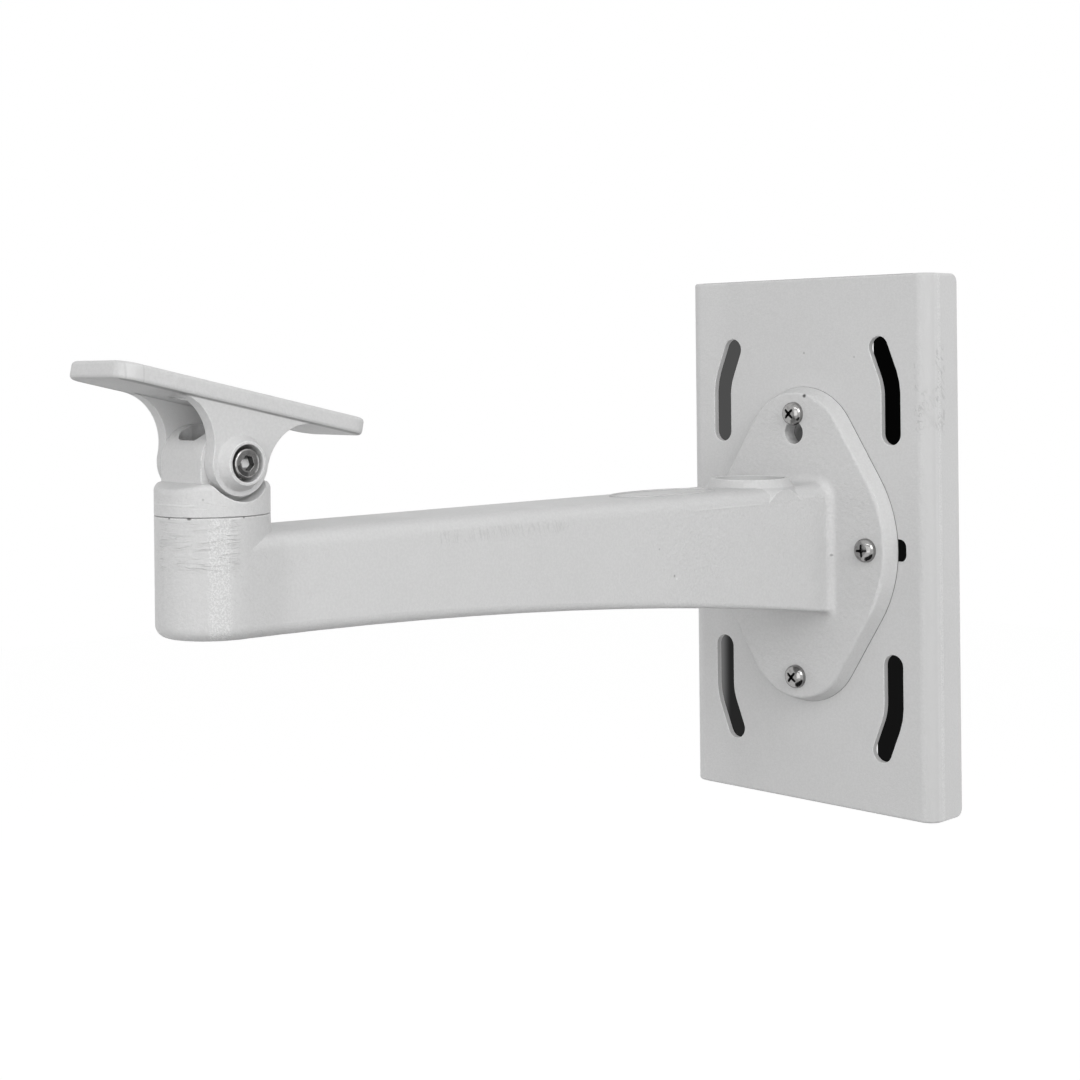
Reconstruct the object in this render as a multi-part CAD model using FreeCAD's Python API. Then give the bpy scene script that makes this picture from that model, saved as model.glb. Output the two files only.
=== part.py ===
import FreeCAD, Part
import math
import os

# Wall and pole arm for a camera housing. Millimetres, +Z up, the arm points along -Y.
# The origin is in the middle of the face that the side flanges of the back plate rest on.

# Back plate: folded sheet with two side flanges
plate_width = 141.0
plate_height = 250.0
plate_depth = 24.0
sheet = 3.0
bend_radius = 7.0
flange_end_radius = 4.0
sheet_edge_round = 1.2

# Centre of all the holes and of the arm, below the middle of the plate
arm_drop = 2.0

# Strap slots of the back plate, one near each corner. Their middle lines bend in towards the plate's
# middle: points (x, z) of the upper right slot, from its straight lower end to its leaning tip
strap_slot_width = 10.5
strap_slot_line = ((49.6, 53.4), (49.6, 72.5), (49.1, 76.7), (48.0, 80.7), (43.0, 93.4))
strap_slot_inner_round = 20.0

# Holes of the back plate behind the arm
side_slot_height = 10.5
side_slot_inner = 35.0
side_slot_outer = 57.2
side_slot_corner = 3.5
low_slot_half_length = 9.0
low_slot_height = 8.0
cable_hole_radius = 18.0

# Screw pattern and flange of the arm
screw_half_x = 40.5
screw_half_z = 62.5
lozenge_half_width = 53.0
lozenge_half_height = 75.2
lozenge_side_radius = 62.0
lozenge_end_radius = 31.0
lozenge_thickness = 8.0
lozenge_inset = 2.7
lozenge_edge_round = 1.5
screw_hole_radius = 3.3
keyhole_radius = 5.4
keyhole_drop = 9.0

# Arm: heights are above or below the arm's own axis
reach = 364.0
arm_top = 30.0
arm_root_bottom = 31.3
arm_mid_bottom = 12.8
arm_tip_bottom = 5.9
arm_root_half_width = 20.4
arm_top_round = 6.5
arm_bottom_round_tip = 4.5
arm_bottom_round_root = 1.6
arm_root_fillet = 4.0
arm_wall = 4.5

# Ring boss and bare oval with a raised rim, on top of the arm
boss_from_plate = 41.7
boss_base_radius = 19.9
boss_top_radius = 17.7
boss_height = 3.8
boss_edge_round = 0.7
dish_radius = 16.4
dish_depth = 2.4
dish_slope = 1.4
oval_from_plate = 102.5
oval_half_length = 31.5
oval_half_width = 14.0
oval_rim_width = 1.1
oval_rim_height = 0.6

# Barrel at the arm's tip
barrel_radius = 20.0
barrel_top = 36.2
barrel_floor = 5.0
seam_chamfer = 0.2

# Swivel knuckle that turns on the barrel
spigot_radius = 13.0
spigot_length = 20.0
spigot_groove_depth = 1.5
spigot_groove_width = 6.4
spigot_groove_drop = 10.0
cable_bore_radius = 8.5
shoulder_edge = 9.1
shoulder_inner = 11.3
shoulder_round = 2.2
tongue_half_width = 11.95
crown_radius = 12.9
scoop_radius = 13.2
pivot_height = 54.3
outlet_half_x = 8.0
outlet_half_y = 10.2
outlet_corner = 4.5
outlet_above_pivot = 3.6

# Tilt head: bar, two ears and their screw hubs, about the pivot
rest_tilt_deg = 12.2
ear_thickness = 4.95
lobe_radius = 11.4
ear_fillet = 18.0
bar_underside = 18.8
bar_thickness = 6.2
bar_half_length = 53.0
bar_half_width = 18.2
bar_corner_round = 7.0
bar_edge_round = 1.5
bar_hole_radius = 3.3
bar_hole_half_spacing = 18.0
hub_base_radius = 9.7
hub_top_radius = 7.5
hub_height = 4.1
counterbore_radius = 6.5
pivot_seat = 1.6

# Fasteners
shank_radius = 3.0
pan_head_radius = 5.6
pan_head_height = 4.2
cross_width = 1.5
cross_length = 6.2
cross_depth = 2.4
cap_head_radius = 5.1
cap_head_height = 6.0
hex_key = 5.0
hex_key_depth = 3.2
nut_across_flats = 10.0
nut_height = 5.0
washer_radius = 9.0
washer_thickness = 1.6
pivot_washer_radius = 6.0
pivot_washer_thickness = 1.2
lock_screw_key = 3.0

# Clearances
thread_clearance = 0.05
running_clearance = 0.05
face_clearance = 0.1
ear_hole_clearance = 0.2
pocket_clearance = 0.2
lock_tip_clearance = 0.3

# Length of thread past a nut
thread_end = 1.2

# Places worked out from the sizes above
plate_front = -plate_depth
lozenge_front = plate_front - lozenge_thickness
plate_back = plate_front + sheet
barrel_y = -reach
ear_inner = tongue_half_width + face_clearance
ear_outer = ear_inner + ear_thickness
hub_outer = ear_outer + hub_height
knuckle_base = barrel_top + face_clearance
arm_centre = FreeCAD.Vector(0, 0, -arm_drop)


def vec(x, y, z):
    return FreeCAD.Vector(x, y, z)


def box(x0, x1, y0, y1, z0, z1):
    return Part.makeBox(x1 - x0, y1 - y0, z1 - z0, vec(x0, y0, z0))


def cylinder(base, direction, radius, length):
    return Part.makeCylinder(radius, length, base, direction)


def line(a, b):
    return Part.LineSegment(a, b).toShape()


def arc(a, b, c):
    return Part.Arc(a, b, c).toShape()


def prism(edges, push):
    """Solid swept from a closed flat outline along one straight push."""
    return Part.Face(Part.Wire(edges)).extrude(push)


def moved(shape, offset):
    result = shape.copy()
    result.translate(offset)
    return result


def obround(a, b, radius, y0, y1):
    """Slot-shaped solid along Y, from centre a to centre b, each an (x, z) pair."""
    run_x, run_z = b[0] - a[0], b[1] - a[1]
    length = math.hypot(run_x, run_z)
    ux, uz = run_x / length, run_z / length
    nx, nz = -uz * radius, ux * radius

    def point(centre, side, along):
        return vec(centre[0] + side * nx + along * ux * radius, y0, centre[1] + side * nz + along * uz * radius)

    outline = [
        line(point(a, 1, 0), point(b, 1, 0)),
        arc(point(b, 1, 0), point(b, 0, 1), point(b, -1, 0)),
        line(point(b, -1, 0), point(a, -1, 0)),
        arc(point(a, -1, 0), point(a, 0, -1), point(a, 1, 0)),
    ]
    return prism(outline, vec(0, y1 - y0, 0))


def edges_where(shape, test):
    """Edges whose middle point passes the test."""
    chosen = []
    for edge in shape.Edges:
        middle = edge.valueAt((edge.FirstParameter + edge.LastParameter) / 2)
        if test(middle, edge):
            chosen.append(edge)
    return chosen


def screw_places():
    """The arm's four screw centres as (x, z), in the plate's frame: top, right, bottom, left."""
    return [
        (0.0, screw_half_z - arm_drop),
        (screw_half_x, -arm_drop),
        (0.0, -screw_half_z - arm_drop),
        (-screw_half_x, -arm_drop),
    ]


def plate_channel():
    """The folded sheet before it is pierced: one U-shaped section swept over the height."""
    half = plate_width / 2
    outer = bend_radius
    inner = bend_radius - sheet
    front = plate_front
    back = plate_back
    turn = math.sqrt(0.5)
    z0 = -plate_height / 2

    def corner(side, radius, share_x, share_y):
        centre_x = side * (half - outer)
        return vec(centre_x + side * radius * share_x, front + outer - radius * share_y, z0)

    left_out, right_out = -half, half
    section = [
        line(vec(left_out, 0, z0), corner(-1, outer, 1, 0)),
        arc(corner(-1, outer, 1, 0), corner(-1, outer, turn, turn), corner(-1, outer, 0, 1)),
        line(corner(-1, outer, 0, 1), corner(1, outer, 0, 1)),
        arc(corner(1, outer, 0, 1), corner(1, outer, turn, turn), corner(1, outer, 1, 0)),
        line(corner(1, outer, 1, 0), vec(right_out, 0, z0)),
        line(vec(right_out, 0, z0), vec(right_out - sheet, 0, z0)),
        line(vec(right_out - sheet, 0, z0), corner(1, inner, 1, 0)),
        arc(corner(1, inner, 1, 0), corner(1, inner, turn, turn), corner(1, inner, 0, 1)),
        line(corner(1, inner, 0, 1), corner(-1, inner, 0, 1)),
        arc(corner(-1, inner, 0, 1), corner(-1, inner, turn, turn), corner(-1, inner, 1, 0)),
        line(corner(-1, inner, 1, 0), vec(left_out + sheet, 0, z0)),
        line(vec(left_out + sheet, 0, z0), vec(left_out, 0, z0)),
    ]
    channel = prism(section, vec(0, 0, plate_height))
    free_corners = edges_where(channel, lambda m, e: abs(m.y) < 0.01 and abs(abs(m.z) - plate_height / 2) < 0.01)
    channel = channel.makeFillet(flange_end_radius, free_corners)
    bend_x = half - outer
    bend_y = front + outer
    outer_rims = edges_where(
        channel,
        lambda m, e: abs(abs(m.z) - plate_height / 2) < 0.01
        and (
            abs(m.y - front) < 0.01
            or abs(abs(m.x) - half) < 0.01
            or abs(math.hypot(abs(m.x) - bend_x, m.y - bend_y) - outer) < 0.01
        ),
    )
    return channel.makeFillet(sheet_edge_round, outer_rims)


def strap_slot(side_x, side_z):
    """Curved slot: upright beside the plate's corner, leaning in towards its end."""
    radius = strap_slot_width / 2
    points = [(side_x * x, side_z * z) for x, z in strap_slot_line]
    y0, y1 = plate_front - sheet, plate_back + sheet
    slot = obround(points[0], points[1], radius, y0, y1)
    for a, b in zip(points[1:], points[2:]):
        slot = slot.fuse(obround(a, b, radius, y0, y1))
    slot = slot.removeSplitter()
    inner = edges_where(
        slot,
        lambda m, e: e.BoundBox.YLength > sheet
        and strap_slot_line[1][1] - 1 < abs(m.z) < strap_slot_line[3][1] + 1
        and abs(m.x) < strap_slot_line[2][0] - radius + 1,
    )
    return moved(slot.makeFillet(strap_slot_inner_round, inner), arm_centre)


def side_slot(side):
    """Wide slot with rounded corners, behind one of the arm's side screws."""
    x0, x1 = sorted((side * side_slot_inner, side * side_slot_outer))
    half = side_slot_height / 2
    slot = box(x0, x1, plate_front - sheet, plate_back + sheet, -half, half)
    corners = edges_where(slot, lambda m, e: e.BoundBox.YLength > sheet)
    return moved(slot.makeFillet(side_slot_corner, corners), arm_centre)


def low_slot():
    """Level slot behind the arm's lowest screw, which lets the arm be turned level on its top screw."""
    run = low_slot_half_length - low_slot_height / 2
    y0, y1 = plate_front - sheet, plate_back + sheet
    slot = obround((-run, -screw_half_z), (run, -screw_half_z), low_slot_height / 2, y0, y1)
    return moved(slot, arm_centre)


def back_plate():
    plate = plate_channel()
    cuts = [strap_slot(sx, sz) for sx in (-1, 1) for sz in (-1, 1)]
    cuts += [side_slot(-1), side_slot(1), low_slot()]
    top_x, top_z = screw_places()[0]
    y0, y1 = plate_front - sheet, plate_back + sheet
    cuts.append(cylinder(vec(top_x, y0, top_z), vec(0, 1, 0), screw_hole_radius, y1 - y0))
    cuts.append(cylinder(vec(0, y0, -arm_drop), vec(0, 1, 0), cable_hole_radius, y1 - y0))
    for cut in cuts:
        plate = plate.cut(cut)
    return plate


def lozenge_wire(inset, y):
    """Outline with rounded ends and sides joined by straight flanks, as one closed wire."""
    end_r = lozenge_end_radius - inset
    side_r = lozenge_side_radius - inset
    end_z = lozenge_half_height - lozenge_end_radius
    side_x = lozenge_half_width - lozenge_side_radius
    span = math.hypot(side_x, end_z)
    lean = math.acos((side_r - end_r) / span)
    towards_end = math.atan2(end_z, -side_x)
    angle = towards_end - lean
    nx, nz = math.cos(angle), math.sin(angle)

    def flank(sx, sz):
        on_end = vec(sx * nx * end_r, y, sz * (end_z + nz * end_r))
        on_side = vec(sx * (side_x + nx * side_r), y, sz * nz * side_r)
        return on_end, on_side

    top = vec(0, y, end_z + end_r)
    bottom = vec(0, y, -end_z - end_r)
    right = vec(side_x + side_r, y, 0)
    left = vec(-side_x - side_r, y, 0)
    (te_r, ts_r), (be_r, bs_r) = flank(1, 1), flank(1, -1)
    (te_l, ts_l), (be_l, bs_l) = flank(-1, 1), flank(-1, -1)
    return Part.Wire([
        arc(te_l, top, te_r), line(te_r, ts_r), arc(ts_r, right, bs_r), line(bs_r, be_r),
        arc(be_r, bottom, be_l), line(be_l, bs_l), arc(bs_l, left, ts_l), line(ts_l, te_l),
    ])


def lozenge_flange():
    """Cast mounting flange with drafted sides and a softened front edge."""
    flange = Part.makeLoft([lozenge_wire(0, plate_front), lozenge_wire(lozenge_inset, lozenge_front)], True, True)
    rim = edges_where(flange, lambda m, e: abs(m.y - lozenge_front) < 0.01)
    return flange.makeFillet(lozenge_edge_round, rim)


def arm_plan(root_half, tip_radius, z0, z1, y_root):
    """Plan outline of the arm, its sides tangent to the round tip, as an upright prism."""
    distance = math.hypot(root_half, y_root - barrel_y)
    bearing = math.atan2(root_half, y_root - barrel_y)
    angle = bearing + math.acos(tip_radius / distance)
    tip_x = tip_radius * math.sin(angle)
    tip_y = barrel_y + tip_radius * math.cos(angle)
    outline = [
        line(vec(root_half, y_root, z0), vec(tip_x, tip_y, z0)),
        arc(vec(tip_x, tip_y, z0), vec(0, barrel_y - tip_radius, z0), vec(-tip_x, tip_y, z0)),
        line(vec(-tip_x, tip_y, z0), vec(-root_half, y_root, z0)),
        line(vec(-root_half, y_root, z0), vec(root_half, y_root, z0)),
    ]
    return prism(outline, vec(0, 0, z1 - z0))


def arm_side(wall, half_width, y_root):
    """Side view of the arm, flat on top and arched below, drawn in by a wall and swept across."""
    tip_y = barrel_y - barrel_radius
    mid_y = (lozenge_front + barrel_y) / 2
    top = arm_top - wall
    low_root = -arm_root_bottom + wall
    low_mid = -arm_mid_bottom + wall
    low_tip = -arm_tip_bottom + wall
    x = -half_width
    outline = [
        line(vec(x, tip_y, low_tip), vec(x, tip_y, top)),
        line(vec(x, tip_y, top), vec(x, y_root, top)),
        line(vec(x, y_root, top), vec(x, y_root, low_root)),
        arc(vec(x, y_root, low_root), vec(x, mid_y, low_mid), vec(x, tip_y, low_tip)),
    ]
    return prism(outline, vec(2 * half_width, 0, 0))


def rounded_underside(body, rear):
    """Rounds the arm's lower edges: fully under the barrel, and less and less towards the flange."""
    doc = FreeCAD.newDocument()
    base = doc.addObject("Part::Feature", "base")
    base.Shape = body
    rounding = doc.addObject("Part::Fillet", "rounding")
    rounding.Base = base
    rules = []
    for number, edge in enumerate(body.Edges, 1):
        middle = edge.valueAt((edge.FirstParameter + edge.LastParameter) / 2)
        if middle.y > rear - 0.01 or middle.z > 0.5 - arm_tip_bottom:
            continue
        ends = [edge.valueAt(edge.FirstParameter).y, edge.valueAt(edge.LastParameter).y]
        radii = [arm_bottom_round_root if y > rear - 1 else arm_bottom_round_tip for y in ends]
        rules.append((number, radii[0], radii[1]))
    rounding.Edges = rules
    doc.recompute()
    result = rounding.Shape.copy()
    FreeCAD.closeDocument(doc.Name)
    return result


def arm_body():
    wide = arm_root_half_width + barrel_radius
    plan = arm_plan(arm_root_half_width, barrel_radius, -2 * arm_root_bottom, 2 * arm_top, plate_front - 2)
    body = plan.common(arm_side(0, wide, plate_front - 2))
    rear = plate_front - 2
    top_loop = edges_where(body, lambda m, e: m.z > arm_top - 0.01 and m.y < rear - 0.01)
    body = body.makeFillet(arm_top_round, top_loop)
    return rounded_underside(body, rear)


def ring_boss():
    """Round boss with a shallow dished top, near the arm's root."""
    sunk = arm_top_round
    y = plate_front - boss_from_plate
    top = arm_top + boss_height
    spread = (boss_base_radius - boss_top_radius) / boss_height
    foot = boss_base_radius + spread * sunk
    boss = Part.makeCone(foot, boss_top_radius, boss_height + sunk, vec(0, y, arm_top - sunk))
    boss = boss.common(box(-arm_root_half_width, arm_root_half_width, y - foot, y + foot, arm_top - sunk, top))
    rim = edges_where(boss, lambda m, e: m.z > top - 0.01)
    boss = boss.makeFillet(boss_edge_round, rim)
    floor = vec(0, y, top - dish_depth)
    return boss.cut(Part.makeCone(dish_radius - dish_slope, dish_radius, dish_depth, floor))


def upright_oval(inset, height):
    """Oval prism on the arm's top, its long axis along the arm."""
    centre = vec(0, plate_front - oval_from_plate, arm_top - 1)
    oval = Part.Ellipse(centre, oval_half_length - inset, oval_half_width - inset).toShape()
    oval.rotate(centre, vec(0, 0, 1), 90)
    return Part.Face(Part.Wire([oval])).extrude(vec(0, 0, 1 + height))


def oval_rim():
    """Low rim round a bare oval field."""
    return upright_oval(0, oval_rim_height).cut(upright_oval(oval_rim_width, 2 * oval_rim_height))


def barrel():
    """Upright barrel at the arm's tip, with a chamfer at the swivel seam."""
    base_z = arm_top_round - arm_tip_bottom
    tube = cylinder(vec(0, barrel_y, base_z), vec(0, 0, 1), barrel_radius, barrel_top - base_z)
    rim = edges_where(tube, lambda m, e: m.z > barrel_top - 0.01)
    return tube.makeChamfer(seam_chamfer, rim)


def arm_cavity():
    """Cable way through the arm, open at the flange, and the bore of the barrel."""
    half = arm_root_half_width - arm_wall
    tip = spigot_radius - 1
    plan = arm_plan(half, tip, -2 * arm_root_bottom, 2 * arm_top, plate_front + 1)
    way = plan.common(arm_side(arm_wall, arm_root_half_width, plate_front + 1))
    floor_z = -arm_tip_bottom + barrel_floor
    bore = cylinder(
        vec(0, barrel_y, floor_z), vec(0, 0, 1), spigot_radius + running_clearance, barrel_top - floor_z + 1
    )
    return way.fuse(bore)


def lock_screw_z():
    return barrel_top - spigot_groove_drop


def keyhole():
    """Hole for the top screw: a round lower lobe that its head passes, and a neck above."""
    y0 = lozenge_front - 1
    y1 = plate_front + 1
    lobe_z = screw_half_z - keyhole_drop
    neck = obround((0, lobe_z), (0, screw_half_z), screw_hole_radius, y0, y1)
    lobe = cylinder(vec(0, y0, lobe_z), vec(0, 1, 0), keyhole_radius, y1 - y0)
    return neck.fuse(lobe)


def arm_casting():
    """Flange, arched hollow arm, ring boss and barrel, cast as one piece."""
    casting = lozenge_flange().fuse(arm_body())
    root = edges_where(
        casting,
        lambda m, e: abs(m.y - lozenge_front) < 0.01
        and abs(m.x) < arm_root_half_width + 1
        and abs(m.z) < arm_root_bottom + 3,
    )
    casting = casting.makeFillet(arm_root_fillet, root)
    for part in (barrel(), ring_boss(), oval_rim()):
        casting = casting.fuse(part)
    casting = casting.cut(arm_cavity()).cut(keyhole())
    for x, z in screw_places()[1:]:
        hole = cylinder(
            vec(x, lozenge_front - 1, z + arm_drop), vec(0, 1, 0), screw_hole_radius, lozenge_thickness + 2
        )
        casting = casting.cut(hole)
    tapped = cylinder(
        vec(-barrel_radius - 1, barrel_y, lock_screw_z()), vec(1, 0, 0), shank_radius + thread_clearance, barrel_radius
    )
    return moved(casting.cut(tapped).removeSplitter(), arm_centre)


def swivel_knuckle():
    """Turning knuckle: hollow spigot, round shoulder, tongue with a rounded crown and two scooped seats."""
    top = pivot_height
    roof = [
        vec(0, -barrel_radius, knuckle_base), vec(0, -barrel_radius, knuckle_base + shoulder_edge),
        vec(0, -crown_radius, knuckle_base + shoulder_inner), vec(0, crown_radius, knuckle_base + shoulder_inner),
        vec(0, barrel_radius, knuckle_base + shoulder_edge), vec(0, barrel_radius, knuckle_base),
    ]
    roof_edges = [line(a, b) for a, b in zip(roof, roof[1:] + roof[:1])]
    roof_prism = moved(prism(roof_edges, vec(2 * barrel_radius, 0, 0)), vec(-barrel_radius, 0, 0))
    drum = cylinder(vec(0, 0, knuckle_base), vec(0, 0, 1), barrel_radius, shoulder_inner)
    seam = edges_where(drum, lambda m, e: m.z < knuckle_base + 0.01)
    shoulder = drum.makeChamfer(seam_chamfer, seam).common(roof_prism)
    rim = edges_where(
        shoulder,
        lambda m, e: m.z > knuckle_base + shoulder_edge / 2
        and math.hypot(m.x, m.y) > barrel_radius - 0.01
        and e.BoundBox.XLength + e.BoundBox.YLength > 1,
    )
    shoulder = shoulder.makeFillet(shoulder_round, rim)
    tongue_block = box(
        -tongue_half_width, tongue_half_width, -crown_radius, crown_radius, knuckle_base + seam_chamfer, top
    )
    crown = cylinder(vec(-tongue_half_width, 0, top), vec(1, 0, 0), crown_radius, 2 * tongue_half_width)
    body = shoulder.fuse(tongue_block).fuse(crown)
    for side in (-1, 1):
        start = tongue_half_width if side > 0 else -2 * barrel_radius
        length = 2 * barrel_radius - tongue_half_width
        body = body.cut(cylinder(vec(start, 0, top), vec(1, 0, 0), scoop_radius, length))
    spigot = cylinder(vec(0, 0, barrel_top - spigot_length), vec(0, 0, 1), spigot_radius, spigot_length + 2)
    groove_z = lock_screw_z() - spigot_groove_width / 2
    groove = cylinder(vec(0, 0, groove_z), vec(0, 0, 1), spigot_radius + 1, spigot_groove_width).cut(
        cylinder(vec(0, 0, groove_z), vec(0, 0, 1), spigot_radius - spigot_groove_depth, spigot_groove_width)
    )
    body = body.fuse(spigot.cut(groove))
    way = cylinder(
        vec(0, 0, barrel_top - spigot_length - 1), vec(0, 0, 1), cable_bore_radius, pivot_height + crown_radius
    )
    pivot_hole = cylinder(
        vec(-2 * barrel_radius, 0, top), vec(1, 0, 0), shank_radius + running_clearance, 4 * barrel_radius
    )
    outlet_z = top + outlet_above_pivot
    outlet = box(-outlet_half_x, outlet_half_x, -outlet_half_y, outlet_half_y, outlet_z, top + crown_radius + 1)
    corners = edges_where(outlet, lambda m, e: e.BoundBox.XLength + e.BoundBox.YLength < 0.01)
    outlet = outlet.makeFillet(outlet_corner, corners)
    body = body.cut(way).cut(outlet).cut(pivot_hole).removeSplitter()
    return moved(body, vec(0, barrel_y, -arm_drop))


def ear(x0, x1):
    """One ear: a round lobe about the pivot, swept up by two large fillets into the bar."""
    r, f, h = lobe_radius, ear_fillet, bar_underside
    c = math.sqrt((r + f) ** 2 - (h - f) ** 2)
    share = r / (r + f)
    low_y, low_z = c * share, (h - f) * share
    sink = h + bar_thickness / 2
    cos_mid = math.cos(math.atan2(h - f - low_z, c - low_y) / 2 + math.pi / 4)
    sin_mid = math.sin(math.atan2(h - f - low_z, c - low_y) / 2 + math.pi / 4)
    fillet_y, fillet_z = c - f * cos_mid, h - f + f * sin_mid
    outline = [
        arc(vec(x0, -c, h), vec(x0, -fillet_y, fillet_z), vec(x0, -low_y, low_z)),
        arc(vec(x0, -low_y, low_z), vec(x0, 0, -r), vec(x0, low_y, low_z)),
        arc(vec(x0, low_y, low_z), vec(x0, fillet_y, fillet_z), vec(x0, c, h)),
        line(vec(x0, c, h), vec(x0, c, sink)),
        line(vec(x0, c, sink), vec(x0, -c, sink)),
        line(vec(x0, -c, sink), vec(x0, -c, h)),
    ]
    return prism(outline, vec(x1 - x0, 0, 0))


def bar():
    """The flat bar that the camera housing is screwed to."""
    z0 = bar_underside
    solid = box(-bar_half_width, bar_half_width, -bar_half_length, bar_half_length, z0, z0 + bar_thickness)
    corners = edges_where(solid, lambda m, e: abs(m.z - z0 - bar_thickness / 2) < 0.01)
    solid = solid.makeFillet(bar_corner_round, corners)
    rims = edges_where(solid, lambda m, e: abs(m.z - z0) < 0.01 or abs(m.z - z0 - bar_thickness) < 0.01)
    solid = solid.makeFillet(bar_edge_round, rims)
    for side in (-1, 1):
        y = side * bar_hole_half_spacing
        solid = solid.cut(cylinder(vec(0, y, z0 - 1), vec(0, 0, 1), bar_hole_radius, bar_thickness + 2))
    return solid


def hexagon(x, across_flats, length):
    """Six-sided prism along X with its centre on the pivot."""
    corner = across_flats / math.sqrt(3)
    points = []
    for k in range(6):
        angle = math.radians(60 * k)
        points.append(vec(x, corner * math.cos(angle), corner * math.sin(angle)))
    return prism([line(a, b) for a, b in zip(points, points[1:] + points[:1])], vec(length, 0, 0))


def set_on_pivot(shape):
    """Turns a piece modelled about the pivot to the rest tilt and puts it in place."""
    result = shape.copy()
    result.rotate(vec(0, 0, 0), vec(1, 0, 0), -rest_tilt_deg)
    result.translate(vec(0, barrel_y, pivot_height - arm_drop))
    return result


def tilt_head():
    """Bar, two ears and their conical hubs, cast as one piece."""
    head = bar().fuse(ear(ear_inner, ear_outer)).fuse(ear(-ear_outer, -ear_inner))
    near_hub = Part.makeCone(hub_base_radius, hub_top_radius, hub_height, vec(ear_outer, 0, 0), vec(1, 0, 0))
    far_hub = Part.makeCone(hub_base_radius, hub_top_radius, hub_height, vec(-ear_outer, 0, 0), vec(-1, 0, 0))
    head = head.fuse(near_hub).fuse(far_hub)
    seat = ear_inner + pivot_seat
    head = head.cut(cylinder(vec(seat, 0, 0), vec(1, 0, 0), counterbore_radius, hub_outer))
    head = head.cut(hexagon(-seat - hub_outer, nut_across_flats + pocket_clearance, hub_outer))
    shank_hole = shank_radius + ear_hole_clearance
    head = head.cut(cylinder(vec(-hub_outer, 0, 0), vec(1, 0, 0), shank_hole, 2 * hub_outer))
    return set_on_pivot(head.removeSplitter())


def pivot_washer():
    """Plain washer in the counterbore, under the pivot screw's head."""
    start = vec(ear_inner + pivot_seat, 0, 0)
    ring = cylinder(start, vec(1, 0, 0), pivot_washer_radius, pivot_washer_thickness)
    return set_on_pivot(ring.cut(cylinder(start, vec(1, 0, 0), screw_hole_radius, pivot_washer_thickness)))


def pivot_screw():
    """Socket head cap screw through both ears and the tongue."""
    seat = ear_inner + pivot_seat + pivot_washer_thickness
    end = -ear_inner - pivot_seat - nut_height - thread_end / 2
    head = cylinder(vec(seat, 0, 0), vec(1, 0, 0), cap_head_radius, cap_head_height)
    rim = edges_where(head, lambda m, e: m.x > seat + cap_head_height - 0.01)
    head = head.makeFillet(cap_head_radius / 8, rim)
    shank = cylinder(vec(end, 0, 0), vec(1, 0, 0), shank_radius, seat - end + 1)
    socket = hexagon(seat + cap_head_height - hex_key_depth, hex_key, hex_key_depth + 1)
    return set_on_pivot(head.fuse(shank).cut(socket))


def hex_nut(along_x):
    """Hexagon nut with both faces chamfered, from x = 0 to its height."""
    corner = nut_across_flats / math.sqrt(3)
    flat_radius = nut_across_flats / 2
    rise = (corner - flat_radius) * math.tan(math.radians(30))
    lathe = [
        vec(0, 0, 0), vec(0, flat_radius, 0), vec(rise, corner, 0),
        vec(nut_height - rise, corner, 0), vec(nut_height, flat_radius, 0), vec(nut_height, 0, 0),
    ]
    turned = Part.Face(Part.Wire([line(a, b) for a, b in zip(lathe, lathe[1:] + lathe[:1])]))
    turned = turned.revolve(vec(0, 0, 0), vec(1, 0, 0), 360)
    nut = hexagon(0, nut_across_flats, nut_height).common(turned)
    nut = nut.cut(cylinder(vec(-1, 0, 0), vec(1, 0, 0), shank_radius + thread_clearance, nut_height + 2))
    if not along_x:
        nut.rotate(vec(0, 0, 0), vec(0, 0, 1), 90)
    return nut


def pivot_nut():
    return set_on_pivot(moved(hex_nut(True), vec(-ear_inner - pivot_seat - nut_height, 0, 0)))


def cross_recess(y_top):
    """Four-winged driver recess, tapering with depth, opening towards -Y."""
    wings = []
    half_l, half_w = cross_length / 2, cross_width / 2
    for length, width in ((half_l, half_w), (half_w, half_l)):
        outer = [vec(length, y_top - 1, width), vec(length, y_top - 1, -width)]
        outer += [vec(-length, y_top - 1, -width), vec(-length, y_top - 1, width)]
        taper = 0.45
        inner = [vec(p.x * taper, y_top + cross_depth, p.z * taper) for p in outer]
        wires = [Part.makePolygon(points + points[:1]) for points in (outer, inner)]
        wings.append(Part.makeLoft(wires, True, True))
    return wings[0].fuse(wings[1])


def flange_screw(place):
    """Pan head screw with a domed head on the flange's front face."""
    x, z = place
    face = lozenge_front
    top = face - pan_head_height
    rim = pan_head_height * 0.45
    dome = Part.Face(Part.Wire([
        line(vec(0, face, 0), vec(pan_head_radius, face, 0)),
        line(vec(pan_head_radius, face, 0), vec(pan_head_radius, face - rim, 0)),
        arc(
            vec(pan_head_radius, face - rim, 0),
            vec(pan_head_radius * 0.78, face - pan_head_height * 0.83, 0),
            vec(0, top, 0),
        ),
        line(vec(0, top, 0), vec(0, face, 0)),
    ])).revolve(vec(0, 0, 0), vec(0, 1, 0), 360)
    end = plate_back + washer_thickness + nut_height + thread_end
    shank = cylinder(vec(0, face - 1, 0), vec(0, 1, 0), shank_radius, end - face + 1)
    screw = dome.cut(cross_recess(top)).fuse(shank.cut(cross_recess(top)))
    return moved(screw, vec(x, 0, z))


def flange_washer(place):
    """Wide washer that bridges the plate's adjusting slot."""
    x, z = place
    start = vec(x, plate_back, z)
    ring = cylinder(start, vec(0, 1, 0), washer_radius, washer_thickness)
    return ring.cut(cylinder(start, vec(0, 1, 0), screw_hole_radius, washer_thickness))


def flange_nut(place):
    x, z = place
    return moved(hex_nut(False), vec(x, plate_back + washer_thickness, z))


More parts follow.
